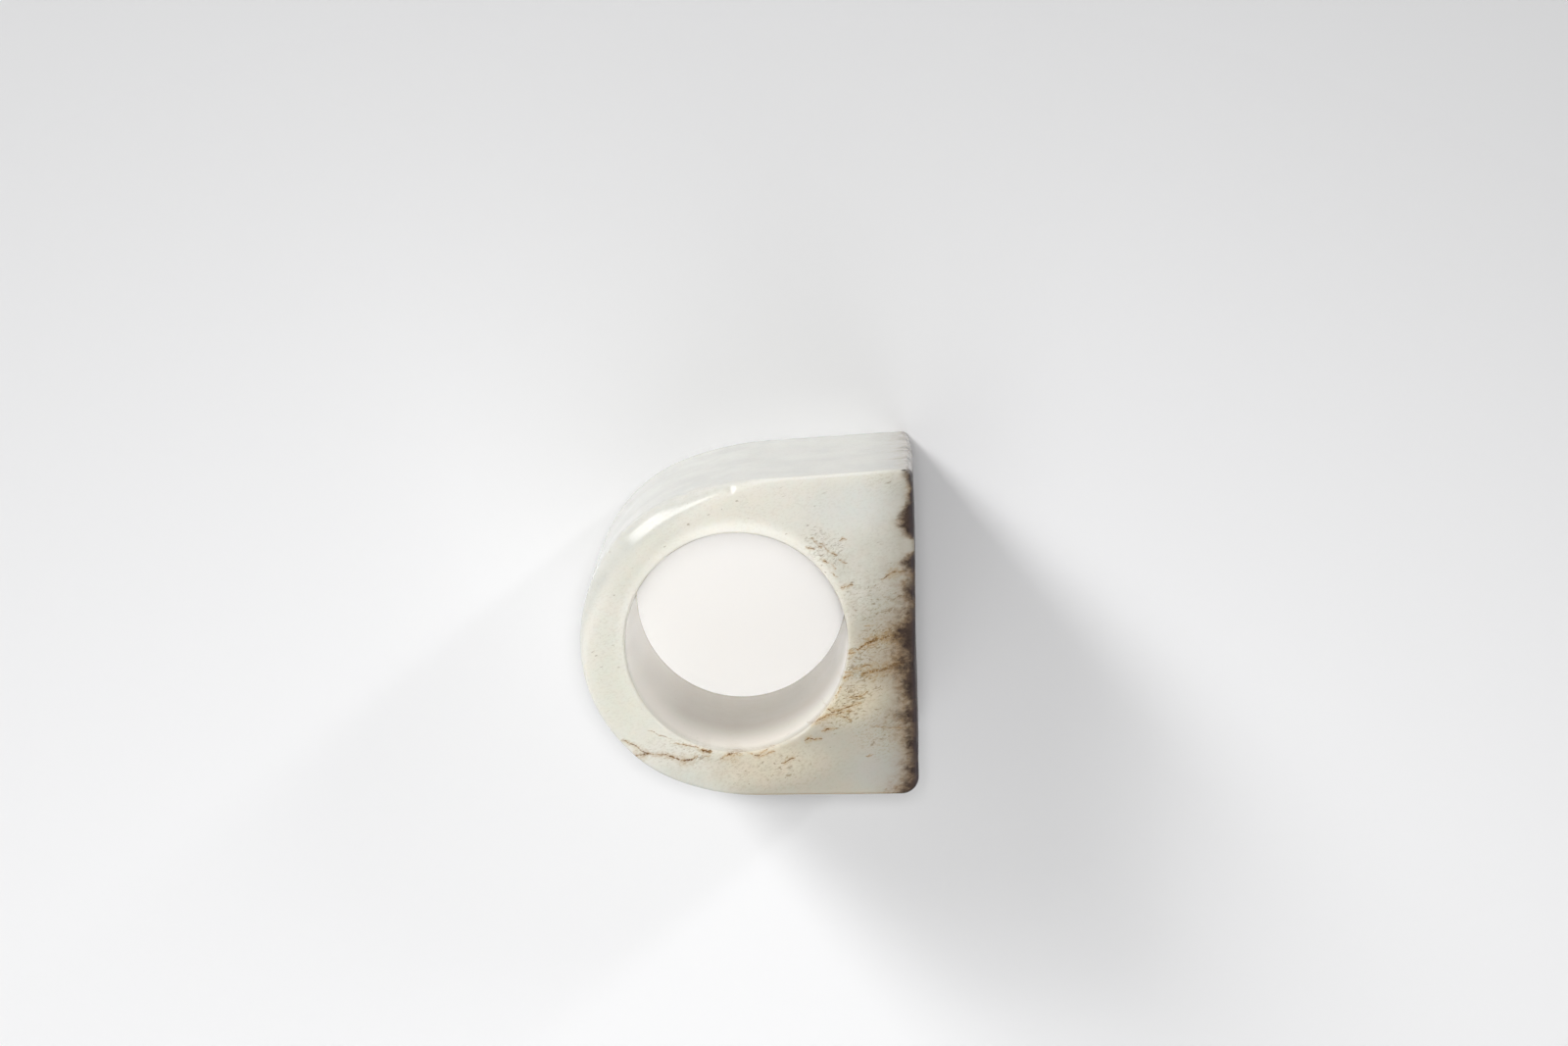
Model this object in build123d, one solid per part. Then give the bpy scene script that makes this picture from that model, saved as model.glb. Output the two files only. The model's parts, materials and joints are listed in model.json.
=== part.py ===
from build123d import *
import math
import os

# An archer's thumb ring, carved from one piece of pale jade with a dark skin left on its flat side.
# The ring lies on its side: the bore runs up along +Z and the ring rests on one of its end faces.
# +X points to the flat spine, +Y to the sloping shoulder and -Y to the foot, on which the ring can
# also be stood upright. The origin is on the bore's axis, in the resting face.
# Sizes are in millimetres and angles in degrees, counted from +X towards +Y.

# The bore, which the thumb goes through, and its softened edge at both ends.
bore_diameter = 21.5
bore_edge_radius = 0.45

# From the resting face to the upper face.
ring_length = 25.4

# The round side, a cylinder whose axis stands a little off the bore's, and its wall on average.
round_wall = 4.18
round_centre_x = -0.12
round_centre_y = 0.21

# The shoulder and the foot are flat sides, which stand this proud of the round side. Each flat begins
# this far towards the spine from the round side's axis, and a wide arc blends it into the round side.
# The foot is parallel to +X, and the shoulder climbs towards the spine.
shoulder_proud = 0.585
shoulder_begins = 4.0
shoulder_slope = 3.4
foot_proud = 0.34
foot_begins = 2.6

# The spine is a flat face. Its wall is measured from the bore to it in the upper face. It leans out
# towards the foot, and at the resting face it stands further out than at the upper one.
spine_wall = 6.5
spine_lean = 0.65
spine_flare = 0.6
shoulder_corner_radius = 0.9
foot_corner_radius = 1.8

# The outer edges of both end faces are narrow and worn. Over a part of the round side the upper one is
# broadly rounded. This part begins a few degrees past the shoulder's blend. A hair of a gap keeps
# the rounding off the round side itself.
worn_edge_radius = 0.3
rounding_radius = 2.0
rounding_past_blend = 8.0
rounding_arc = 47.0
rounding_gap = 0.02

# What is worked out from the sizes above.
bore_radius = bore_diameter / 2
round_radius = bore_radius + round_wall
round_centre = Vector(round_centre_x, round_centre_y)
spine_reach = bore_radius + spine_wall

# Longer than the ring is in any direction, for the shapes that cut it.
past_ring = ring_length + round_radius + spine_reach + shoulder_proud + foot_proud


def towards(angle, length):
    """A step of this length in the direction of this angle."""
    return Vector(length * math.cos(math.radians(angle)), length * math.sin(math.radians(angle)))


def blend(normal, spinewards, proud, begins):
    """The arc that joins a flat side, which faces the angle normal, to the round side.

    It starts on the flat and ends on the round side, and is tangent to both. Its radius follows from
    how proud the flat stands, and how far towards the spine it begins.
    """
    radius = round_radius + (begins ** 2 / proud + proud) / 2
    step = towards(normal, round_radius + proud - radius) + towards(spinewards, begins)
    centre = round_centre + step
    on_flat = centre + towards(normal, radius)
    on_round = round_centre - step.normalized() * round_radius
    halfway = (on_flat + on_round) / 2 - centre
    return ThreePointArc(on_flat, centre + halfway.normalized() * radius, on_round)


def shoulder_blend():
    """The arc from the shoulder's flat to the round side."""
    return blend(90 + shoulder_slope, shoulder_slope, shoulder_proud, shoulder_begins)


def outline():
    """The ring's outline across the bore, with its square side carried on past the spine."""
    shoulder = shoulder_blend()
    foot = blend(-90, 0, foot_proud, foot_begins)
    round_side = ThreePointArc(shoulder @ 1, round_centre + towards(180, round_radius), foot @ 1)
    far_shoulder = shoulder @ 0 + towards(shoulder_slope, past_ring)
    far_foot = foot @ 0 + towards(0, past_ring)
    flats = [Line(far_shoulder, shoulder @ 0), Line(foot @ 0, far_foot), Line(far_foot, far_shoulder)]
    return make_face([shoulder, round_side, foot] + flats)


def spine_cutter():
    """A block whose near face is the spine, leaning and flared."""
    flare = math.degrees(math.atan2(spine_flare, ring_length))
    leaning = Pos(spine_reach, 0, ring_length) * Rot(0, -flare, spine_lean)
    return leaning * Pos(past_ring, 0, 0) * Box(2 * past_ring, 2 * past_ring, 2 * past_ring)


def rises(edge):
    """Whether an edge runs along the bore, and not round an end face."""
    return edge.bounding_box().size.Z > ring_length / 2


def round_long_corners(body):
    """The ring with the spine's two long corners rounded."""
    spine = body.faces().sort_by(Axis.X)[-1]
    foot_corner, shoulder_corner = spine.edges().filter_by(rises).sort_by(Axis.Y)
    body = fillet(foot_corner, foot_corner_radius)
    shoulder_corner = body.edges().sort_by_distance(shoulder_corner.center())[0]
    return fillet(shoulder_corner, shoulder_corner_radius)


def soften_ends(body):
    """The ring with the edges of its end faces softened, round the outside and then round the bore."""
    body = fillet([edge for edge in body.edges() if not rises(edge) and not edge.is_closed],
                  worn_edge_radius)
    return fillet([edge for edge in body.edges() if edge.is_closed], bore_edge_radius)


def pillow():
    """A block round the whole ring with one broadly rounded edge, for the rounding of the upper face.

    Its curved side stands just outside the ring's round side. Flat sides leave that along the tangent,
    so that the rounding fades out as they draw away from the ring.
    """
    blend_end = shoulder_blend() @ 1 - round_centre
    start = math.degrees(math.atan2(blend_end.Y, blend_end.X)) + rounding_past_blend
    end = start + rounding_arc
    first, middle, last = (round_centre + towards(angle, round_radius + rounding_gap)
                           for angle in (start, (start + end) / 2, end))
    past_first = first + towards(start - 90, past_ring)
    past_last = last + towards(end + 90, past_ring)
    behind = round_centre - towards((start + end) / 2, 2 * past_ring)
    sides = [Line(past_first, first), ThreePointArc(first, middle, last), Line(last, past_last)]
    backs = [Line(past_last, behind), Line(behind, past_first)]
    block = extrude(make_face(sides + backs), ring_length)
    upper = block.faces().sort_by(Axis.Z)[-1].edges().sort_by_distance(middle)
    return fillet(upper[:len(sides)], rounding_radius)


def thumb_ring():
    """The whole ring."""
    body = round_long_corners(extrude(outline(), ring_length) - spine_cutter())
    body -= Cylinder(bore_radius, 2 * past_ring)
    return soften_ends(body) & pillow()


os.makedirs("parts", exist_ok=True)
export_step(thumb_ring(), "parts/thumb_ring.step")
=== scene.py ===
import json
import math

import bmesh
import bpy
from mathutils import Matrix, Vector, noise


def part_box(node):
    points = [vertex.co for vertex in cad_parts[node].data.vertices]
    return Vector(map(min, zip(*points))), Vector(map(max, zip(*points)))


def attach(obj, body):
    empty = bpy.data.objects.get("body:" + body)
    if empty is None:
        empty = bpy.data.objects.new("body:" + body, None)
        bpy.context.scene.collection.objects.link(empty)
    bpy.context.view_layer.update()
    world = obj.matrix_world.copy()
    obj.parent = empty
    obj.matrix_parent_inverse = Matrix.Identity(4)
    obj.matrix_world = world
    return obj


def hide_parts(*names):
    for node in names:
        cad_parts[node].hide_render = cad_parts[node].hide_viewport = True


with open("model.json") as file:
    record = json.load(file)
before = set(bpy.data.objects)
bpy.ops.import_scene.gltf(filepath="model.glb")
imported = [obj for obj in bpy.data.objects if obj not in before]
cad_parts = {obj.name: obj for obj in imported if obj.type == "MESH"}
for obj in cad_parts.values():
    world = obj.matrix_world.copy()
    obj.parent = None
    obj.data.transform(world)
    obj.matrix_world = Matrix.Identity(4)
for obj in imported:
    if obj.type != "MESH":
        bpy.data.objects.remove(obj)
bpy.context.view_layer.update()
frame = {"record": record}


# The ring: one piece of pale jade, sawn and ground to a D-shaped block, drilled through for the thumb
# and polished by hand. The flat spine was left along the stone's dark outer skin. The ring lies on its
# far end face, with the bore upright, so that the face with the brown veins is uppermost.
mm = 0.001
resting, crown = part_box("thumb_ring")
ring_length = crown.z - resting.z
bore_radius = frame["record"]["mounts"][0]["dims"]["r_mm"] * mm
bore_edge = 0.24 * mm

# The outline of the upper face. The round side has its centre a little off the bore. The shoulder and
# the foot are flat, stand slightly proud of the round side and run into it through wide bends.
round_wall = 4.18 * mm
round_radius = bore_radius + round_wall
round_centre = Vector((-0.12, 0.21, 0)) * mm
shoulder_slope = math.radians(3.4)
shoulder_proud = 0.585 * mm
shoulder_begins = 4.0 * mm
shoulder_corner = 0.8 * mm
shoulder_corner_steps = 9
foot_proud = 0.34 * mm
foot_begins = 2.6 * mm
foot_corner = 1.65 * mm
foot_corner_steps = 12
spine_wall = 6.5 * mm
spine_lean = math.radians(0.65)
spine_reach = bore_radius + spine_wall
outline_spacing = 0.26 * mm
outline_weld = 0.02 * mm


def run(mesh, vert, end, spacing):
    """Draws a straight line from a vertex to a point, in steps of about this length."""
    count = max(1, round((end - vert.co).length / spacing))
    part = (end - vert.co) / count
    for _ in range(count):
        new = bmesh.ops.extrude_vert_indiv(mesh, verts=[vert])["verts"][0]
        bmesh.ops.translate(mesh, verts=[new], vec=part)
        vert = new
    return vert


def turn(mesh, vert, centre, axis, angle, steps):
    """Draws an arc from a vertex about a centre."""
    arc = bmesh.ops.spin(mesh, geom=[vert], cent=centre, axis=axis, angle=angle, steps=steps)
    return arc["geom_last"][0]


def bend(facing, proud, begins):
    """Where a wide bend between a flat side and the round side has its centre, and its radius."""
    along = Vector((abs(facing.y), -facing.x * math.copysign(1, facing.y), 0))
    radius = round_radius + (begins ** 2 / proud + proud) / 2
    return round_centre + facing * (round_radius + proud - radius) + along * begins, radius


def on_spine(side, climb):
    """Where the line of a flat side, through this point and climbing at this angle, meets the spine."""
    reach = spine_reach - side.y * math.tan(spine_lean) - side.x
    reach = reach / (1 + math.tan(climb) * math.tan(spine_lean))
    return side + Vector((reach, reach * math.tan(climb), 0))


def cornered(corner, before, after, radius):
    """Where an arc in a corner starts, its centre and its angle, from the directions before and after."""
    start = corner - before * radius * math.tan(before.angle(after) / 2)
    return start, start + up.cross(before) * radius, before.angle(after)


up = Vector((0, 0, 1))
foot_facing = Vector((0, -1, 0))
shoulder_facing = Vector((-math.sin(shoulder_slope), math.cos(shoulder_slope), 0))
foot_bend, foot_bend_radius = bend(foot_facing, foot_proud, foot_begins)
shoulder_bend, shoulder_bend_radius = bend(shoulder_facing, shoulder_proud, shoulder_begins)
foot_start = foot_bend + foot_facing * foot_bend_radius
shoulder_end = shoulder_bend + shoulder_facing * shoulder_bend_radius
along_foot = Vector((1, 0, 0))
up_spine = Vector((-math.sin(spine_lean), math.cos(spine_lean), 0))
down_shoulder = Vector((-math.cos(shoulder_slope), -math.sin(shoulder_slope), 0))
foot_corner_start, foot_corner_centre, foot_corner_angle = cornered(
    on_spine(foot_start, 0), along_foot, up_spine, foot_corner)
shoulder_corner_start, shoulder_corner_centre, shoulder_corner_angle = cornered(
    on_spine(shoulder_end, shoulder_slope), up_spine, down_shoulder, shoulder_corner)
into_round = (round_centre - shoulder_bend).normalized()
out_of_round = (round_centre - foot_bend).normalized()

outline = bmesh.new()
pen = outline.verts.new(foot_start)
pen = run(outline, pen, foot_corner_start, outline_spacing)
pen = turn(outline, pen, foot_corner_centre, up, foot_corner_angle, foot_corner_steps)
pen = run(outline, pen, shoulder_corner_start, outline_spacing)
pen = turn(outline, pen, shoulder_corner_centre, up, shoulder_corner_angle, shoulder_corner_steps)
pen = run(outline, pen, shoulder_end, outline_spacing)
for centre, radius, angle in (
        (shoulder_bend, shoulder_bend_radius, shoulder_facing.angle(into_round)),
        (round_centre, round_radius, into_round.angle(out_of_round)),
        (foot_bend, foot_bend_radius, out_of_round.angle(foot_facing))):
    pen = turn(outline, pen, centre, up, angle, max(1, round(radius * angle / outline_spacing)))
bmesh.ops.remove_doubles(outline, verts=outline.verts, dist=outline_weld)
stations = sorted((math.atan2(v.co.y, v.co.x) % (2 * math.pi), v.co.length) for v in outline.verts)
outline.free()

# The section through the wall: the bore on the inside, then the upper face, the outside and the
# resting face. It is spun round the bore, and each of its copies is then drawn out to the outline.
drawn_wall = 4.0 * mm
upper_edge = 1.0 * mm
lower_edge = 0.25 * mm
section_weld = 0.005 * mm
inside, outside = Vector((-1, 0, 0)), Vector((1, 0, 0))
high_in = Vector((bore_radius + bore_edge, 0, ring_length - bore_edge))
high_out = Vector((bore_radius + drawn_wall - upper_edge, 0, ring_length - upper_edge))
low_out = Vector((bore_radius + drawn_wall - lower_edge, 0, lower_edge))
low_in = Vector((bore_radius + bore_edge, 0, bore_edge))

ring = bmesh.new()
pen = ring.verts.new(low_in + inside * bore_edge)
for centre, first_side, radius, steps in (
        (high_in, inside, bore_edge, 6),
        (high_out, up, upper_edge, 12),
        (low_out, outside, lower_edge, 5),
        (low_in, -up, bore_edge, 6)):
    pen = run(ring, pen, centre + first_side * radius, ring_length)
    pen = turn(ring, pen, centre, Vector((0, 1, 0)), math.pi / 2, steps)
bmesh.ops.spin(ring, geom=ring.verts[:] + ring.edges[:], cent=(0, 0, 0), axis=up, angle=2 * math.pi,
               steps=len(stations), use_merge=True)
bmesh.ops.remove_doubles(ring, verts=ring.verts, dist=section_weld)

shortest_side = 2 * mm
slack = 0.01 * mm
bore_spacing = 1.2 * mm
upper_face_spacing = 0.1 * mm
outside_spacing = 0.65 * mm
resting_face_spacing = 0.35 * mm


def split(spacing, belongs):
    """Divides the edges that lead from one rounded edge of the section to the next."""
    chosen = [e for e in ring.edges
              if e.calc_length() > shortest_side and belongs((e.verts[0].co + e.verts[1].co) / 2)]
    cuts = round(chosen[0].calc_length() / spacing) - 1
    bmesh.ops.subdivide_edges(ring, edges=chosen, cuts=cuts)


split(bore_spacing, lambda middle: middle.xy.length < bore_radius + slack)
split(upper_face_spacing, lambda middle: middle.z > ring_length - slack)
split(outside_spacing, lambda middle: middle.xy.length > bore_radius + drawn_wall - 5 * slack)
split(resting_face_spacing, lambda middle: middle.z < slack)

# The upper edge is narrow, and broadly rounded over a part of the round side. The broad part comes and
# goes between these directions, in degrees from the spine's side towards the shoulder.
narrow_rounding = 0.3 * mm
broad_inward = 2.9 * mm
broad_down = 1.9 * mm
broad_comes = (72, 122)
broad_goes = (138, 198)

# The outside is ground by hand and slightly wavy. The spine has a long wave of its own, given in mm from
# the foot's side to the shoulder's, and it stands out further below the upper face, as this table says.
flare = (
    # height, how far out, both in mm
    (0.0, 0.30), (9.0, 0.42), (20.0, 0.10), (25.4, 0.0),
)
flare_heights, flare_reaches = zip(*flare)
spine_begins = (12 * mm, 16 * mm)
spine_wave = 0.05 * mm
spine_crest = 8
spine_half_wave = 10
hand_wave = 0.05 * mm
hand_wave_length = 6 * mm

# Chips and nicks: where each is, in mm, how far it reaches and how deep it is.
chips = (
    # x, y, z, reach, depth
    (16.85, 16.2, 25.3, 0.75, 0.28),
    (17.2, 4.6, 25.4, 0.45, 0.20),
    (17.3, -2.3, 25.4, 0.4, 0.12),
    (-0.37, 14.95, 25.3, 0.45, 0.16),
    (17.5, -9.8, 25.4, 0.5, 0.12),
)
chip_grain = 0.3 * mm
chip_roughness = 0.6


def ease(value, low, high):
    """From 0 at low to 1 at high, smoothly."""
    share = min(1.0, max(0.0, (value - low) / (high - low)))
    return share * share * (3 - 2 * share)


def rounding(angle):
    """How far in and how far down the upper edge is rounded, in this direction from the bore."""
    share = ease(angle, *broad_comes) * (1 - ease(angle, *broad_goes))
    return narrow_rounding + broad_inward * share, narrow_rounding + broad_down * share


def carried(value, marks, carried_marks):
    """Carries a value with the marks that it lies between, to where they are carried."""
    for low, high, first, last in zip(marks, marks[1:], carried_marks, carried_marks[1:]):
        if value <= high or high == marks[-1]:
            return first + (value - low) / (high - low) * (last - first)


turn_step = 2 * math.pi / len(stations)
bore_rim = bore_radius + bore_edge
for vert in ring.verts:
    number = round(math.atan2(vert.co.y, vert.co.x) / turn_step) % len(stations)
    angle, reach = stations[number]
    next_angle, next_reach = stations[(number + 1) % len(stations)]
    last_angle, last_reach = stations[number - 1]
    chord = Vector((next_reach * math.cos(next_angle) - last_reach * math.cos(last_angle),
                    next_reach * math.sin(next_angle) - last_reach * math.sin(last_angle)))
    square = abs(chord.normalized().cross(Vector((math.cos(angle), math.sin(angle)))))
    high = vert.co.z > ring_length / 2
    edge, drop = rounding(math.degrees(angle))
    if not high:
        edge = lower_edge
    drawn_edge = upper_edge if high else lower_edge
    across = carried(vert.co.xy.length,
                     (0, bore_rim, bore_radius + drawn_wall - drawn_edge, bore_radius + drawn_wall),
                     (0, bore_rim, reach - edge / square, reach))
    height = vert.co.z
    if across > bore_rim:
        height = carried(height, (0, ring_length - upper_edge, ring_length),
                         (0, ring_length - drop, ring_length))
    vert.co = (across * math.cos(angle), across * math.sin(angle), height)
    if across > bore_rim:
        outward = Vector((math.cos(angle), math.sin(angle), 0))
        wave = noise.noise(vert.co / hand_wave_length) * hand_wave
        vert.co += outward * wave * ease(across, bore_rim, reach)
        crest = math.cos((vert.co.y / mm - spine_crest) * math.pi / spine_half_wave)
        flared = carried(height / mm, flare_heights, flare_reaches) * mm
        vert.co.x += ease(vert.co.x, *spine_begins) * (flared + spine_wave * crest)
        for x, y, z, size, chip_depth in chips:
            near = 1 - (vert.co - Vector((x, y, z)) * mm).length / (size * mm)
            if near > 0:
                rough = 1 + chip_roughness * noise.noise(vert.co / chip_grain)
                vert.co -= (outward + up).normalized() * chip_depth * mm * min(1, 2 * near) * rough
bmesh.ops.recalc_face_normals(ring, faces=ring.faces)
for face in ring.faces:
    face.smooth = True

jade_ring = bpy.data.objects.new("jade_ring", bpy.data.meshes.new("jade_ring"))
bpy.context.scene.collection.objects.link(jade_ring)
ring.to_mesh(jade_ring.data)
ring.free()
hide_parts("thumb_ring")
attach(jade_ring, "root")

# The jade: cream on the left, greyer and darker towards the spine, with brown veins and flecks that rise
# to the right, and the dark skin. All places in the stone are in mm from the origin.
jade = bpy.data.materials.new("jade")
jade.use_nodes = True
jade_ring.data.materials.append(jade)
stone = jade.node_tree
shader = stone.nodes["Principled BSDF"]


def put(kind, **settings):
    """Adds a node to the jade, with these settings."""
    added = stone.nodes.new("ShaderNode" + kind)
    for name, value in settings.items():
        setattr(added, name, value)
    return added


def feed(socket, value):
    """Sets a socket, or links another node's output to it."""
    if isinstance(value, bpy.types.NodeSocket):
        stone.links.new(value, socket)
    else:
        socket.default_value = value


def work(operation, *values, clamp=False):
    """A sum, product or other operation on numbers."""
    added = put("Math", operation=operation, use_clamp=clamp)
    for socket, value in zip(added.inputs, values):
        feed(socket, value)
    return added.outputs[0]


def times(first, second):
    """One number times another."""
    return work("MULTIPLY", first, second)


def swing(first, middle, factor, added_to):
    """How far a number is from its middle value, times a factor, added to another."""
    return work("MULTIPLY_ADD", work("SUBTRACT", first, middle), factor, added_to)


def step(value, low, high, first=0.0, last=1.0):
    """Goes smoothly from first, at low, to last, at high."""
    added = put("MapRange", interpolation_type="SMOOTHSTEP")
    for socket, given in zip(added.inputs, (value, low, high, first, last)):
        feed(socket, given)
    return added.outputs[0]


def curve(value, points):
    """A number read off a smooth curve through these points."""
    added = put("FloatCurve")
    drawn = added.mapping
    drawn.use_clip = False
    drawn.extend = "HORIZONTAL"
    line = drawn.curves[0].points
    line[0].location, line[1].location = points[0], points[-1]
    for point in points[1:-1]:
        line.new(*point)
    for point in line:
        point.handle_type = "AUTO_CLAMPED"
    drawn.update()
    feed(added.inputs["Value"], value)
    return added.outputs[0]


def clouds(place, size, stretch=(1, 1, 1), turned=0.0, detail=2.0, rough=0.5, at=(0, 0, 0)):
    """Cloudy noise with features of about this size in mm, stretched along the turned axes."""
    moved = put("Mapping", vector_type="POINT")
    feed(moved.inputs["Vector"], place)
    moved.inputs["Location"].default_value = at
    turning = put("Mapping", vector_type="POINT")
    turning.inputs["Rotation"].default_value = (0, 0, -math.radians(turned))
    feed(turning.inputs["Vector"], moved.outputs[0])
    shrunk = put("Mapping", vector_type="POINT")
    shrunk.inputs["Scale"].default_value = [1 / (size * s) for s in stretch]
    feed(shrunk.inputs["Vector"], turning.outputs[0])
    added = put("TexNoise", normalize=True)
    feed(added.inputs["Vector"], shrunk.outputs[0])
    added.inputs["Scale"].default_value = 1.0
    added.inputs["Detail"].default_value = detail
    added.inputs["Roughness"].default_value = rough
    return added


def grain(place, size, **settings):
    """The strength of such noise, from 0 to 1."""
    return clouds(place, size, **settings).outputs["Fac"]


def patch(place, centre, radii, turned=0.0):
    """A soft patch: 1 at its centre, 0 at its radii and beyond."""
    turning = put("Mapping", vector_type="TEXTURE")
    turning.inputs["Location"].default_value = centre
    turning.inputs["Rotation"].default_value = (0, 0, math.radians(turned))
    turning.inputs["Scale"].default_value = radii
    feed(turning.inputs["Vector"], place)
    added = put("TexGradient", gradient_type="SPHERICAL")
    feed(added.inputs["Vector"], turning.outputs[0])
    return step(added.outputs["Fac"], 0.0, 0.75)


def colour(red, green, blue):
    """A colour as a screen shows it, from 0 to 255, for a socket."""
    shares = [c / 255 for c in (red, green, blue)]
    return [s / 12.92 if s <= 0.04045 else ((s + 0.055) / 1.055) ** 2.4 for s in shares] + [1]


def mixed(share, first, second):
    """The first colour turning into the second by this share."""
    added = put("Mix", data_type="RGBA")
    feed(added.inputs["Factor"], share)
    feed(added.inputs[6], first)
    feed(added.inputs[7], second)
    return added.outputs[2]


def moved_by(place, noise_node, reach):
    """A place in the stone, shifted this way and that by a noise's colour."""
    centred = put("VectorMath", operation="SUBTRACT")
    feed(centred.inputs[0], noise_node.outputs["Color"])
    centred.inputs[1].default_value = (0.5, 0.5, 0.5)
    scaled = put("VectorMath", operation="SCALE")
    feed(scaled.inputs[0], centred.outputs[0])
    scaled.inputs["Scale"].default_value = 2 * reach
    added = put("VectorMath", operation="ADD")
    feed(added.inputs[0], place)
    feed(added.inputs[1], scaled.outputs[0])
    return added.outputs[0]


def parted(place):
    """The x, y and z of a place in the stone."""
    parts = put("SeparateXYZ")
    feed(parts.inputs[0], place)
    return parts.outputs


# Where a point lies in the stone, how deep under the upper face and how far from the bore's axis.
in_mm = put("Mapping", vector_type="POINT")
in_mm.inputs["Scale"].default_value = (1 / mm, 1 / mm, 1 / mm)
feed(in_mm.inputs["Vector"], put("TexCoord").outputs["Object"])
here = in_mm.outputs[0]
x, y, z = parted(here)
depth = work("SUBTRACT", ring_length / mm, z)
across_bore = put("CombineXYZ")
feed(across_bore.inputs[0], x)
feed(across_bore.inputs[1], y)
axis_distance = put("VectorMath", operation="LENGTH")
feed(axis_distance.inputs[0], across_bore.outputs[0])
from_axis = axis_distance.outputs["Value"]

# Stains are fainter on the bore's own wall.
bore = bore_radius / mm
in_bore = step(from_axis, bore + 0.02, bore + 0.14, 0.35, 1.0)

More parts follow.
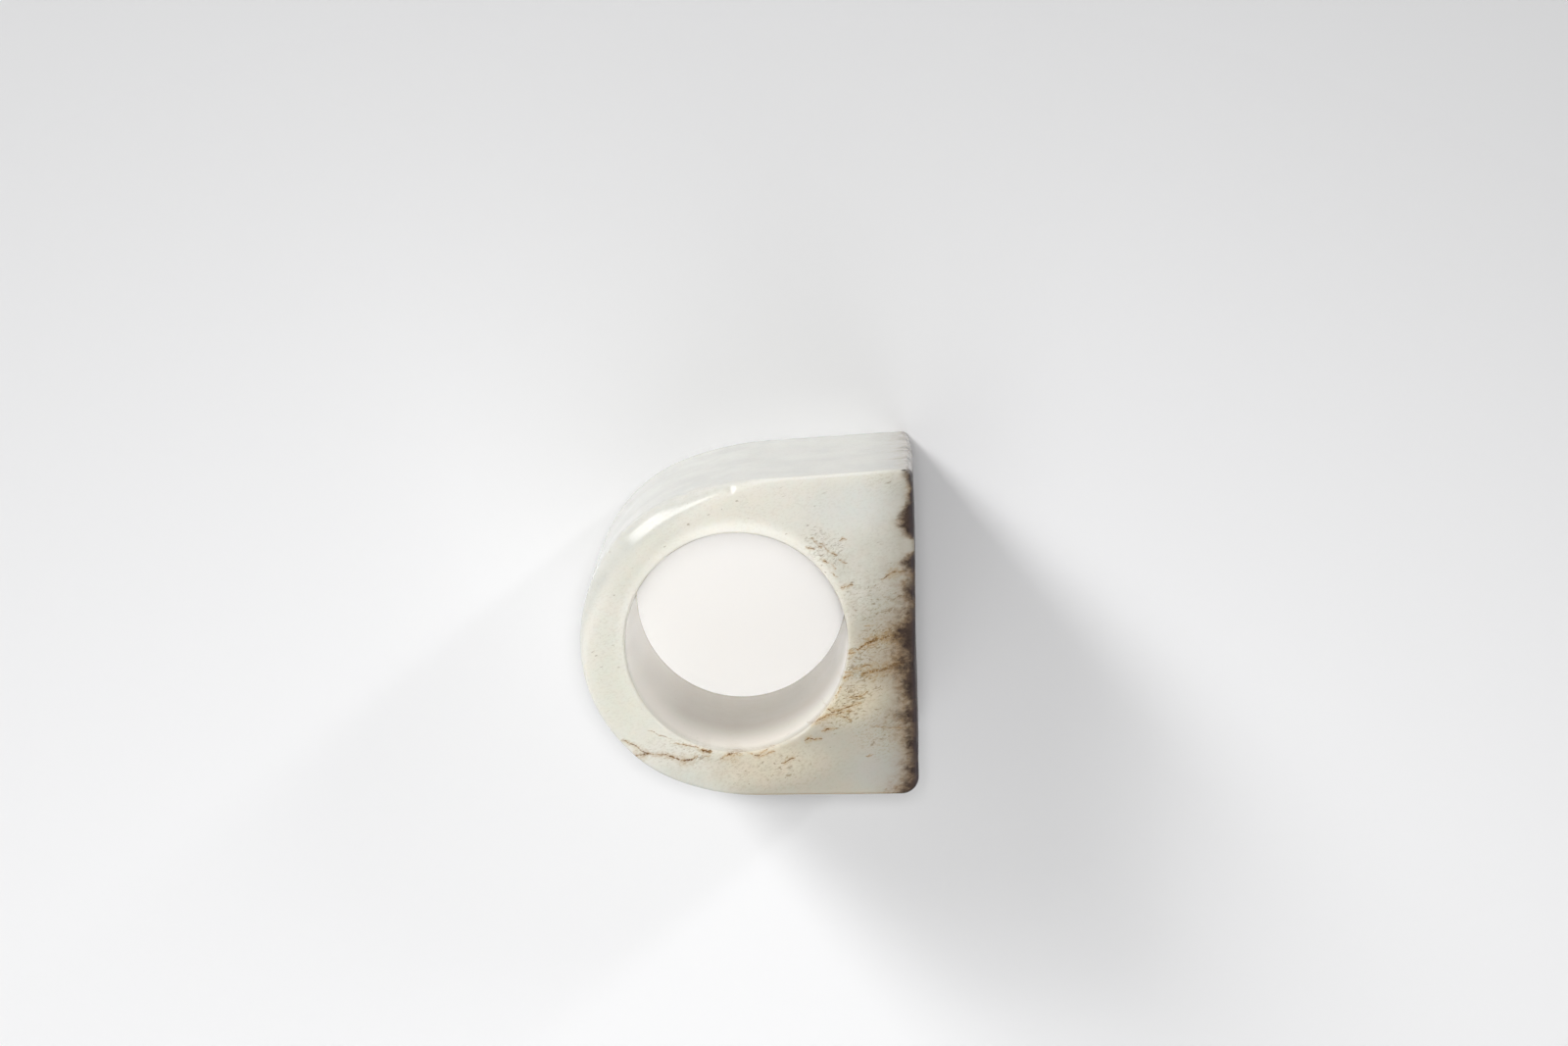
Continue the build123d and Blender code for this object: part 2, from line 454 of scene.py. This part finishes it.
# The veins are thin sheets of stain that lean as they go down. Each is given by the points that it runs
# through on the upper face, as x, y and its width there, all in mm.
veins = (
    # x, y, width; first the spine side, from the top down
    ((14.0, 6.1, 0.05), (14.5, 6.45, 0.12), (15.1, 6.77, 0.18), (15.7, 6.85, 0.12), (16.3, 6.9, 0.08)),
    ((10.1, 5.3, 0.05), (10.6, 5.42, 0.10), (11.25, 5.64, 0.05)),
    ((12.4, 1.5, 0.01), (12.9, 1.55, 0.03), (13.4, 1.6, 0.01)),
    ((11.5, -0.75, 0.05), (12.3, -0.36, 0.15), (12.9, -0.02, 0.22), (13.7, 0.28, 0.24),
     (14.4, 0.42, 0.27), (15.3, 0.56, 0.32), (16.0, 0.58, 0.30)),
    ((10.8, -1.1, 0.10), (11.1, -1.06, 0.16), (11.5, -0.98, 0.05)),
    ((10.1, -3.5, 0.10), (10.4, -3.45, 0.17), (10.8, -3.33, 0.13), (11.2, -3.18, 0.07)),
    ((10.5, -2.95, 0.04), (11.0, -2.82, 0.08), (11.6, -2.66, 0.10), (12.2, -2.42, 0.07),
     (12.8, -2.3, 0.04)),
    ((12.0, -3.08, 0.08), (12.6, -3.0, 0.24), (13.15, -2.93, 0.32), (13.8, -2.82, 0.26),
     (14.4, -2.64, 0.27), (15.0, -2.36, 0.30), (15.6, -2.14, 0.28), (16.1, -2.0, 0.16)),
    ((9.5, -5.3, 0.12), (9.75, -4.95, 0.14), (10.0, -4.5, 0.10)),
    ((10.9, -5.5, 0.04), (11.4, -5.4, 0.08), (12.0, -5.3, 0.08), (12.5, -4.9, 0.06)),
    ((8.3, -6.1, 0.06), (8.8, -6.45, 0.12), (9.3, -6.78, 0.14), (9.7, -6.72, 0.10), (10.4, -6.45, 0.09),
     (11.2, -6.25, 0.09), (11.9, -6.1, 0.06)),
    ((6.9, -8.05, 0.06), (7.6, -7.8, 0.14), (8.3, -7.4, 0.14), (8.9, -7.1, 0.11), (9.6, -7.0, 0.12),
     (10.4, -6.8, 0.08), (11.0, -6.75, 0.04)),
    ((9.9, -7.2, 0.05), (10.4, -7.35, 0.10), (11.0, -7.64, 0.05)),
    ((8.1, -8.72, 0.04), (8.5, -8.65, 0.10), (9.0, -8.57, 0.07), (9.6, -8.5, 0.02)),
    ((6.5, -9.65, 0.10), (6.9, -9.48, 0.15), (7.3, -9.5, 0.08), (8.1, -9.5, 0.05)),
    ((4.3, -11.85, 0.05), (4.85, -11.6, 0.11), (5.4, -11.4, 0.05)),
    ((13.3, -8.35, 0.01), (14.4, -8.42, 0.02), (15.5, -8.5, 0.03), (16.8, -8.45, 0.03)),
    ((12.4, -11.2, 0.01), (12.7, -11.19, 0.03), (13.1, -11.1, 0.01)),
    # short strokes above the bore
    ((7.3, 10.15, 0.02), (7.7, 9.85, 0.07), (8.3, 9.3, 0.05)),
    ((6.75, 9.3, 0.03), (7.1, 9.2, 0.08), (7.6, 9.1, 0.03)),
    ((8.3, 9.6, 0.03), (8.6, 9.35, 0.08), (8.95, 8.9, 0.04)),
    ((9.05, 8.75, 0.03), (9.35, 8.72, 0.09), (9.75, 8.55, 0.04)),
    ((8.2, 8.05, 0.03), (8.5, 7.95, 0.09), (8.9, 7.75, 0.04)),
    ((9.1, 7.6, 0.03), (9.3, 7.45, 0.08), (9.55, 7.2, 0.03)),
    ((9.2, 6.75, 0.03), (9.45, 6.6, 0.08), (9.75, 6.4, 0.03)),
    ((10.1, 9.95, 0.02), (10.4, 10.08, 0.06), (10.75, 10.0, 0.02)),
    ((9.95, 8.05, 0.02), (10.3, 7.85, 0.06), (10.7, 7.75, 0.02)),
    # the round side, from the left along the foot
    ((-11.2, -9.5, 0.06), (-10.5, -9.72, 0.08), (-9.8, -10.05, 0.09), (-9.2, -10.5, 0.09),
     (-8.7, -10.78, 0.08), (-8.4, -10.85, 0.07), (-7.3, -10.93, 0.09), (-6.4, -11.12, 0.11),
     (-5.85, -11.4, 0.15), (-5.2, -11.5, 0.19), (-4.5, -11.35, 0.16), (-3.9, -11.1, 0.06)),
    ((-10.1, -10.95, 0.20), (-9.6, -10.87, 0.28), (-9.1, -10.86, 0.22), (-8.6, -10.8, 0.10)),
    ((-8.6, -8.5, 0.01), (-7.7, -8.86, 0.03), (-7.1, -9.1, 0.03), (-6.5, -9.32, 0.01)),
    ((-6.5, -9.8, 0.01), (-5.5, -9.83, 0.03), (-4.5, -10.08, 0.05), (-3.7, -10.3, 0.09),
     (-3.2, -10.55, 0.32), (-2.8, -10.62, 0.30), (-2.5, -10.55, 0.08)),
    ((-1.7, -11.4, 0.06), (-1.2, -11.1, 0.16), (-0.7, -10.86, 0.28), (-0.1, -10.70, 0.34),
     (0.3, -10.66, 0.18), (0.9, -10.75, 0.05), (1.5, -10.95, 0.07), (2.0, -11.02, 0.12),
     (2.45, -10.65, 0.09), (3.0, -10.3, 0.07), (3.5, -10.2, 0.03)),
    ((2.0, -11.1, 0.06), (2.7, -10.95, 0.06), (3.5, -10.7, 0.03)),
)

drift = clouds(here, 3.0, detail=1.0, at=(7, 3, 1))
curl = clouds(here, 0.7, detail=2.0, rough=0.6, at=(2, 9, 4))
wavy = moved_by(moved_by(here, drift, 0.12), curl, 0.2)
wavy_x, wavy_y, _ = parted(wavy)
sway = grain(here, 9.0, detail=1.0, at=(1, 5, 8))
lean = times(depth, work("MULTIPLY_ADD", sway, 0.5, -0.12))
vein_x = work("ADD", wavy_x, times(depth, 0.05))
vein_y = work("ADD", wavy_y, lean)

# Veins that lie one after the other along x share a curve. Between them the curve's width is below
# nothing, so that no stain shows there.
end_gap = 0.12
track_gap = 0.5
least_gap = 0.1
no_width = -1.0
narrowest = 1e-5
drawn_share = 0.55
tracks = []
for vein in sorted(veins):
    (first_x, first_y, _), (last_x, last_y, _) = vein[0], vein[-1]
    before = ((first_x - track_gap, first_y, no_width), (first_x - end_gap, first_y, 0.0))
    after = ((last_x + end_gap, last_y, 0.0), (last_x + track_gap, last_y, no_width))
    ended = before + vein + after
    for track in tracks:
        if track[-1][0] < ended[0][0] - least_gap:
            track.extend(ended)
            break
    else:
        tracks.append(list(ended))
far = 9.0
nearness = far
for track in tracks:
    away = work("ABSOLUTE", work("SUBTRACT", vein_y, curve(vein_x, [(px, py) for px, py, _ in track])))
    width = times(curve(vein_x, [(px, width_there) for px, _, width_there in track]), drawn_share)
    nearness = work("MINIMUM", nearness, work("DIVIDE", away, work("MAXIMUM", width, narrowest)))

strokes = grain(here, 0.34, stretch=(1.8, 0.8, 2), turned=16, detail=3.0, rough=0.65)
crumbs = grain(here, 0.11, stretch=(1.6, 0.9, 1), turned=16, detail=1.5, at=(1, 8, 3))
ragged = swing(strokes, 0.46, 5.4, nearness)
ragged = swing(crumbs, 0.5, 3.2, ragged)
fading = times(step(depth, 0.3, 6.0, 1.0, 0.25), in_bore)
grainy = step(grain(here, 0.13, detail=2.0, rough=0.7, at=(3, 3, 0)), 0.34, 0.58, 0.5, 1.0)
vein_core = times(times(step(ragged, 0.2, 1.6, 1.0, 0.0), fading), grainy)
vein_haze = times(step(ragged, 0.5, 9.0, 1.0, 0.0), fading)

# Flecks and short curly strokes: dense beside the bore on the spine side and low on the ring, and sparse
# elsewhere. Each patch has its centre and its radii in mm, the turn of its long axis, and its weight.
crowded = (
    # x, y, z, radius along, across and down, turned, weight
    (11.5, -3.0, 25.4, 5.0, 4.0, 6.0, 10, 0.70),
    (9.6, -6.9, 25.4, 4.2, 2.4, 6.0, 20, 0.80),
    (14.5, 0.6, 25.4, 4.5, 1.8, 5.0, 15, 0.85),
    (12.5, 4.0, 25.4, 5.5, 3.5, 5.0, 0, 0.45),
    (8.6, 9.0, 25.4, 3.6, 2.6, 4.0, -40, 0.60),
    (14.0, -9.0, 25.4, 4.5, 3.5, 6.0, 0, 0.50),
    (14.0, 0.0, 25.4, 5.0, 16.0, 8.0, 0, 0.20),
    (4.0, -12.4, 25.4, 9.0, 3.2, 8.0, 4, 0.48),
    (-5.0, -10.7, 25.4, 6.0, 2.2, 6.0, -8, 0.50),
    (-11.5, 1.0, 25.4, 4.0, 9.0, 9.0, 0, 0.10),
    (3.0, 13.5, 25.4, 8.0, 3.0, 8.0, 0, 0.15),
    (15.0, 15.5, 25.4, 4.0, 1.6, 4.0, 0, 0.35),
)
crowd = times(grain(here, 5.0, detail=1.0, at=(4, 4, 4)), 0.3)
for px, py, pz, along, over, down, turned, weight in crowded:
    crowd = work("MULTIPLY_ADD", patch(here, (px, py, pz), (along, over, down), turned), weight, crowd)

thread = grain(wavy, 0.7, stretch=(2.4, 0.8, 1.5), turned=20, detail=1.5, at=(3, 1, 2))
on_thread = step(work("ABSOLUTE", work("SUBTRACT", thread, 0.5)), 0.008, 0.035, 1.0, 0.0)
broken = grain(here, 0.55, stretch=(1.6, 0.9, 1.4), turned=18, detail=2.0, at=(8, 2, 6))
thread_limit = work("MULTIPLY_ADD", crowd, -0.22, 0.71)
open_part = work("MULTIPLY", work("SUBTRACT", broken, thread_limit), 14.0, clamp=True)
thread_mark = times(times(on_thread, open_part), in_bore)
dot = grain(here, 0.17, stretch=(1.7, 0.9, 1.5), turned=20, detail=1.0, at=(5, 5, 5))
dot_limit = work("MULTIPLY_ADD", crowd, -0.16, 0.77)
dot_mark = work("MULTIPLY", work("SUBTRACT", dot, dot_limit), 12.0, clamp=True)
dot_mark = times(dot_mark, work("MULTIPLY_ADD", crowd, 0.42, 0.2, clamp=True))

# The base colour, from cream at the upper left to grey beige at the lower right, partly the stone's tone
# and partly painted shade away from the key light at the upper left, with warmer and cooler patches.
cream = colour(232, 230, 222)
pale_beige = colour(219, 217, 207)
grey_beige = colour(174, 169, 156)
# Painted shade in part: the tone darkens away from the key light at the upper left.
towards_corner = work("SUBTRACT", times(x, 0.8), times(y, 0.6))
cloud = grain(here, 4.0, detail=3.0, rough=0.5, at=(9, 1, 3))
fine_cloud = grain(here, 1.1, detail=3.0, rough=0.55, at=(1, 1, 7))
tone = swing(cloud, 0.5, 8.0, towards_corner)
tone = swing(fine_cloud, 0.5, 4.5, tone)
body = mixed(step(tone, -7.0, 6.0), cream, pale_beige)
body = mixed(step(tone, 1.5, 13.0), body, grey_beige)
tints = (
    # x, y, z, radius along, across and down, turned, weight, colour
    (-11.0, -4.0, 25.4, 5.0, 9.0, 20.0, 0, 0.35, (216, 219, 201)),
    (-9.0, 9.0, 25.4, 7.0, 8.0, 12.0, 0, 0.60, (215, 214, 203)),
    (1.0, 13.0, 25.4, 7.0, 3.0, 12.0, 0, 0.40, (235, 231, 218)),
    (11.5, 13.4, 25.4, 6.0, 3.6, 9.0, 0, 0.70, (221, 223, 219)),
    (14.2, -12.8, 25.4, 5.5, 3.2, 8.0, 0, 0.80, (171, 170, 165)),
    (-5.0, -13.6, 25.4, 5.0, 1.6, 8.0, -14, 0.50, (201, 205, 198)),
    (3.0, -12.0, 25.4, 8.0, 3.0, 9.0, 6, 0.60, (220, 209, 186)),
    (14.0, -2.0, 25.4, 4.5, 6.5, 9.0, 0, 0.55, (176, 165, 145)),
    (11.0, -6.0, 25.4, 5.0, 3.0, 8.0, 20, 0.60, (223, 210, 181)),
)
for px, py, pz, along, over, down, turned, weight, tint in tints:
    share = times(patch(here, (px, py, pz), (along, over, down), turned), weight)
    body = mixed(share, body, colour(*tint))

greenish = colour(223, 227, 211)
pinkish = colour(232, 221, 206)
hue = step(grain(here, 1.6, detail=3.0, rough=0.6, at=(7, 2, 5)), 0.38, 0.62)
body = mixed(0.16, body, mixed(hue, greenish, pinkish))

# Painted shade: the outside and the outer part of the rounded upper edge are darker and greyer than the
# upper face, with clouds in it.
outside_shade_grey = colour(191, 193, 188)
outside_shade_pale = colour(202, 202, 197)
outside_shade_white = colour(212, 211, 206)
outside_shade = times(step(depth, -0.05, 0.5), step(from_axis, bore + 1.45, bore + 2.55))
clouded = mixed(step(cloud, 0.38, 0.62), outside_shade_grey, outside_shade_pale)
clouded = mixed(step(fine_cloud, 0.42, 0.66, 0.0, 0.22), clouded, outside_shade_white)
body = mixed(times(outside_shade, 0.62), body, clouded)

# Dust-fine specks, then painted shade by the bore's rim, and painted light and shade on its wall: pale near
# the rim and on the left, darker further in.
speck_brown = colour(148, 128, 94)
rim_shade_grey = colour(196, 190, 176)
wall_near_light = colour(243, 238, 227)
wall_left_glow = colour(232, 226, 214)
wall_deep_shade = colour(188, 178, 163)
dust = grain(here, 0.22, stretch=(1.5, 0.9, 1.3), turned=18, detail=3.0, rough=0.7, at=(6, 1, 1))
dusty = times(step(dust, 0.46, 0.66), work("MULTIPLY_ADD", crowd, 0.45, 0.0, clamp=True))
body = mixed(dusty, body, speck_brown)
# Painted shade: a faint grey ring on the upper face around the bore's rim.
painted_rim_shade = times(step(from_axis, bore + 0.15, bore + 0.85, 0.22, 0.0), step(depth, 0.1, 0.9, 1.0, 0.0))
body = mixed(painted_rim_shade, body, rim_shade_grey)
# Painted light and shade on the bore's wall: pale near the rim and on the left, darker further in.
wall_painted_share = times(step(from_axis, bore + 0.03, bore + 0.4, 0.8, 0.0), step(depth, 0.1, 3.0, 0.0, 1.0))
wall_glow_and_shade = mixed(step(x, -9.8, -5.0), wall_left_glow, wall_deep_shade)
body = mixed(wall_painted_share, body, mixed(step(depth, 1.0, 12.0), wall_near_light, wall_glow_and_shade))

# The stains of the dots, threads and veins, and a faint line of painted shade along the foot's edge.
dot_brown = colour(122, 104, 72)
thread_brown = colour(120, 98, 60)
haze_gold = colour(172, 138, 80)
vein_brown = colour(104, 68, 22)
vein_gold = colour(152, 112, 48)
foot_shade_tan = colour(168, 138, 96)
body = mixed(dot_mark, body, dot_brown)
# Threads are fainter on the outside, under its painted shade.
thread_mark = times(thread_mark, step(outside_shade, 0.0, 1.0, 0.52, 0.22))
body = mixed(thread_mark, body, thread_brown)
body = mixed(times(times(vein_haze, step(dust, 0.36, 0.62, 0.35, 1.0)), 0.5), body, haze_gold)
body = mixed(times(vein_core, 0.95), body, mixed(step(strokes, 0.42, 0.6), vein_brown, vein_gold))
# Painted shade: a faint tan line along the foot's rounded edge.
foot_y = foot_start.y / mm
painted_foot_shade = times(step(y, foot_y + 0.31, foot_y + 0.06), step(x, -6.0, 4.0, 0.0, 0.5))
painted_foot_shade = times(painted_foot_shade, step(depth, 0.3, 1.4, 1.0, 0.0))
body = mixed(painted_foot_shade, body, foot_shade_tan)

# The skin: how far in from the spine its dark part and its brown fringe reach, in mm, along the spine.
skin = (
    # along, half dark, fringe
    (-16.0, 2.4, 3.4), (-14.6, 1.8, 2.8), (-13.9, 1.3, 2.2), (-13.2, 0.95, 1.9), (-12.6, 1.1, 1.7),
    (-11.9, 0.7, 1.7), (-11.2, 0.75, 1.5), (-10.4, 1.05, 1.7), (-9.8, 1.1, 1.8), (-9.2, 0.85, 1.8),
    (-8.5, 0.8, 2.2), (-7.8, 1.25, 2.5), (-7.2, 1.6, 2.5), (-6.5, 1.05, 2.2), (-5.8, 0.9, 2.0),
    (-5.2, 1.4, 2.0), (-4.4, 1.35, 2.1), (-3.7, 1.5, 2.4), (-3.1, 1.4, 2.6), (-2.5, 1.7, 2.8),
    (-1.8, 1.6, 2.7), (-1.1, 1.4, 2.6), (-0.4, 1.6, 2.3), (0.2, 1.9, 2.8), (0.9, 1.95, 2.6),
    (1.5, 1.6, 2.3), (2.2, 0.95, 2.0), (2.9, 0.65, 1.8), (3.6, 0.35, 1.3), (4.2, 0.5, 1.5),
    (4.9, 0.85, 1.3), (5.6, 0.5, 1.5), (6.3, 0.4, 1.1), (6.9, 0.35, 1.4), (7.5, 0.95, 1.5),
    (8.0, 0.7, 1.2), (8.6, 0.1, 0.6), (9.0, -0.4, -0.1), (9.7, -0.4, -0.1), (10.2, 0.35, 0.85),
    (10.9, 1.05, 1.4), (11.6, 1.3, 1.7), (12.3, 1.15, 1.5), (12.9, 0.9, 1.2), (13.6, 0.4, 0.75),
    (14.3, 0.38, 0.68), (15.0, 0.28, 0.55), (15.6, 0.45, 0.72), (16.3, 0.55, 0.9), (16.7, 0.3, 0.6),
)
spine_x = work("MULTIPLY_ADD", y, -math.tan(spine_lean), spine_reach / mm)
spine_x = work("MULTIPLY_ADD", depth, 0.016, spine_x)
inward = work("SUBTRACT", spine_x, x)
down_sway = work("SUBTRACT", grain(here, 5.0, detail=2.0, at=(6, 6, 2)), 0.5)
along_spine = work("MULTIPLY_ADD", times(down_sway, step(depth, 0.3, 7.0)), 14.0, y)
dark_reach = curve(along_spine, [(at, dark) for at, dark, _ in skin])
fringe_reach = curve(along_spine, [(at, fringe) for at, _, fringe in skin])
fringe_width = work("MAXIMUM", work("SUBTRACT", fringe_reach, dark_reach), 0.3)

# The table holds in the upper face. Further down the skin wanders, and its fringe has one width.
deep_fringe = 0.8
charted = step(depth, 0.3, 4.0, 1.0, 0.0)
wandering = grain(here, 2.6, detail=3.0, at=(8, 4, 4))
plain_reach = swing(wandering, 0.5, 4.0, step(y, 12.5, 15.5, 1.1, -0.1))
dark_reach = work("MULTIPLY_ADD", work("SUBTRACT", dark_reach, plain_reach), charted, plain_reach)
fringe_width = work("MULTIPLY_ADD", work("SUBTRACT", fringe_width, deep_fringe), charted, deep_fringe)

# Hairs and tufts make its edge ragged. It is darkest at the spine, and has a haze before its fringe.
twisted = moved_by(here, clouds(here, 0.8, detail=2.0, rough=0.6, at=(5, 0, 2)), 0.35)
hairs = grain(twisted, 0.46, stretch=(1.5, 0.9, 1.2), turned=12, detail=5.0, rough=0.62, at=(0, 3, 5))
tufts = grain(here, 1.4, stretch=(1.1, 0.9, 1), detail=2.0, at=(3, 0, 1))
outwards = work("DIVIDE", work("SUBTRACT", inward, dark_reach), fringe_width)
outwards = swing(hairs, 0.5, 3.2, outwards)
outwards = swing(tufts, 0.5, 1.0, outwards)
skin_haze = step(outwards, 0.2, 3.0, 1.0, 0.0)
skin_brown = step(outwards, -0.2, 1.4, 1.0, 0.0)
edge_core = times(step(inward, 0.2, 0.95, 0.85, 0.0), step(dark_reach, 0.25, 0.7))
skin_core = work("MAXIMUM", step(outwards, -1.1, 0.5, 1.0, 0.0), edge_core)

shaded_grey = colour(108, 100, 90)
skin_tan = colour(142, 118, 84)
fringe_brown = colour(86, 66, 48)
fringe_light = colour(126, 100, 70)
skin_black = colour(50, 40, 36)
skin_umber = colour(68, 55, 48)
worn_skin_and_sheen = colour(68, 61, 64)
near_spine = work("POWER", work("MULTIPLY_ADD", inward, -0.18, 1.0, clamp=True), 1.5)
body = mixed(times(near_spine, 0.42), body, shaded_grey)
body = mixed(times(skin_haze, 0.3), body, skin_tan)
mottle = grain(here, 0.9, detail=4.0, rough=0.65, at=(2, 2, 9))
mottled = step(mottle, 0.35, 0.65)
body = mixed(times(skin_brown, 0.72), body, mixed(mottled, fringe_brown, fringe_light))
dark = mixed(mottled, skin_black, skin_umber)
# Along the last mm of the spine the dark skin turns slate grey, partly worn and partly painted sheen.
dark = mixed(step(inward, 0.1, 0.65, 0.85, 0.0), dark, worn_skin_and_sheen)
body = mixed(times(skin_core, 0.96), body, dark)

# Patches on the spine's own face where the skin is thin, dark lines along its corner with the shoulder,
# and two pale nicks.
thin_brown = colour(84, 64, 44)
thin_light = colour(122, 97, 66)
corner_black = colour(48, 36, 30)
nick_white = colour(232, 230, 226)
bare = grain(here, 3.2, stretch=(1, 1.2, 1), turned=20, detail=5.0, rough=0.62, at=(1, 6, 3))
bare = times(step(bare, 0.5, 0.68), step(inward, -0.1, 0.15, 0.6, 0.0))
body = mixed(bare, body, mixed(step(mottle, 0.4, 0.6), thin_brown, thin_light))
corner_lines = (
    # centre, radii, turned
    ((16.55, 16.68, 25.35), (0.85, 0.14, 0.4), 4),
    ((17.12, 16.25, 25.35), (0.75, 0.13, 0.4), -72),
)
for place, radii, turned in corner_lines:
    body = mixed(times(step(patch(here, place, radii, turned), 0.1, 0.6), 0.8), body, corner_black)
pale_nicks = (
    # centre, radii, turned
    ((17.12, 4.6, 25.38), (0.11, 0.28, 0.3), -20),
    ((16.83, 16.05, 25.38), (0.1, 0.24, 0.3), 40),
)
for place, radii, turned in pale_nicks:
    body = mixed(times(step(patch(here, place, radii, turned), 0.3, 0.6), 0.9), body, nick_white)
feed(shader.inputs["Base Color"], body)

# Polished, slightly waxy and translucent, with a fine orange peel. The skin is duller, and light doesn't
# spread inside the stains.
jade_gloss = 0.14
jade_glow = 0.5
stained_glow = 0.08
polish = grain(here, 0.8, detail=3.0, at=(4, 7, 7))
on_spine_face = times(skin_core, step(inward, 0.05, 0.3, 0.45, 0.1))
feed(shader.inputs["Roughness"], work("ADD", on_spine_face, jade_gloss))
shader.inputs["IOR"].default_value = 1.6
stained = work("MAXIMUM", work("MAXIMUM", vein_core, thread_mark), work("MAXIMUM", dot_mark, skin_brown))
feed(shader.inputs["Subsurface Weight"], work("MULTIPLY_ADD", stained, stained_glow - jade_glow, jade_glow))
shader.inputs["Subsurface Radius"].default_value = (1.0, 0.92, 0.75)
shader.inputs["Subsurface Scale"].default_value = 2.5 * mm
surface = put("Bump")
surface.inputs["Strength"].default_value = 0.03
surface.inputs["Distance"].default_value = 0.05 * mm
feed(surface.inputs["Height"], work("ADD", polish, times(skin_core, mottle)))
feed(shader.inputs["Normal"], surface.outputs[0])


# The floor: a plain pale surface, large enough to fill every view. It lies a hair below the ring, so
# that the two don't coincide.
half_floor = 2
floor_drop = 0.02 * mm
floor_mesh = bmesh.new()
bmesh.ops.create_grid(floor_mesh, x_segments=1, y_segments=1, size=half_floor)
floor = bpy.data.objects.new("floor", bpy.data.meshes.new("floor"))
floor.location.z = -floor_drop
bpy.context.scene.collection.objects.link(floor)
floor_mesh.to_mesh(floor.data)
floor_mesh.free()
pale = bpy.data.materials.new("pale_floor")
pale.use_nodes = True
floor.data.materials.append(pale)
matt = pale.node_tree.nodes["Principled BSDF"]
matt.inputs["Base Color"].default_value = (0.89, 0.89, 0.895, 1)
matt.inputs["Roughness"].default_value = 0.7


# The light: a pale room, a little brighter at the horizon than overhead, and soft boxes on stands. Key
# and side box stand to the upper left, and only the key shows in the stone's gloss. A narrow strip at the
# upper right draws a line of light on the edges, and a low box lights from the foot's side.
horizon_strength = 0.15
overhead_strength = 0.06
overhead_begins = 0.5
world = bpy.data.worlds.new("room")
bpy.context.scene.world = world
world.use_nodes = True
room = world.node_tree
room_direction = room.nodes.new("ShaderNodeTexCoord")
room_height = room.nodes.new("ShaderNodeSeparateXYZ")
room.links.new(room_direction.outputs["Generated"], room_height.inputs[0])
room_fade = room.nodes.new("ShaderNodeMapRange")
room.links.new(room_height.outputs["Z"], room_fade.inputs["Value"])
room_fade.inputs["From Min"].default_value = 0.0
room_fade.inputs["From Max"].default_value = overhead_begins
room_fade.inputs["To Min"].default_value = horizon_strength
room_fade.inputs["To Max"].default_value = overhead_strength
room.links.new(room_fade.outputs["Result"], room.nodes["Background"].inputs["Strength"])
room.nodes["Background"].inputs["Color"].default_value = (0.97, 0.98, 1.0, 1)


def hung(name, lamp, place, target, mirrored):
    """Hangs a lamp at a place, facing a target. Only a mirrored one shows in the gloss."""
    lantern = bpy.data.objects.new(name, lamp)
    bpy.context.scene.collection.objects.link(lantern)
    facing = (place - target).to_track_quat("Z", "Y").to_matrix().to_4x4()
    lantern.matrix_world = Matrix.Translation(place) @ facing
    lantern.visible_glossy = mirrored


def soft_box(name, direction, distance, width, height, brightness, mirrored=True):
    """A soft box in this direction from the ring, with this size, whose face has this brightness."""
    lamp = bpy.data.lights.new(name, "AREA")
    lamp.shape = "RECTANGLE"
    lamp.size = width
    lamp.size_y = height
    lamp.energy = brightness * math.pi * width * height
    hung(name, lamp, Vector(direction).normalized() * distance, Vector(), mirrored)


soft_box("key", direction=(-0.64, 0.63, 0.47), distance=1.2, width=0.34, height=0.95, brightness=5.6)
soft_box("side", direction=(-0.60, 0.66, 0.458), distance=1.2, width=0.24, height=0.45, brightness=16.2,
         mirrored=False)
soft_box("strip", direction=(0.75, 0.6, 0.45), distance=1.2, width=0.09, height=0.5, brightness=15.0)
soft_box("low", direction=(0, -0.64, 0.77), distance=0.8, width=0.85, height=0.85, brightness=1.26,
         mirrored=False)

# Two spots hang at the camera: one lights the whole front softly, and a narrow one the floor that is
# seen through the bore.
camera_place = Vector((8.61, 71.61, 374.2)) * mm


def spot(name, energy, opening, blend, softness, target):
    """A spot at the camera, with this opening in degrees, aimed at this point."""
    lamp = bpy.data.lights.new(name, "SPOT")
    lamp.energy = energy
    lamp.spot_size = math.radians(opening)
    lamp.spot_blend = blend
    lamp.shadow_soft_size = softness
    hung(name, lamp, camera_place, Vector(target), False)


spot("front", energy=2.85, opening=90, blend=1.0, softness=0.025, target=(0, -0.24, 0))
spot("bore_lamp", energy=2.68, opening=3.53, blend=0.05, softness=0.001, target=(0, 0.0005, 0.0254))


# The camera looks along the bore from above the foot's side, at the photograph's angle to the ring.
camera = bpy.data.objects.new("camera", bpy.data.cameras.new("camera"))
bpy.context.scene.collection.objects.link(camera)
bpy.context.scene.camera = camera
camera.data.lens = 85
camera.data.sensor_width = 36
camera.data.clip_start = 0.01
camera_right = Vector((0.99988, -0.01303, -0.00887))
camera_up = Vector((0.01134, 0.98548, -0.16942))
camera_back = camera_right.cross(camera_up)
camera_turn = Matrix((camera_right, camera_up, camera_back)).transposed().to_4x4()
camera.matrix_world = Matrix.Translation(camera_place) @ camera_turn
bpy.context.scene.view_settings.view_transform = "Standard"
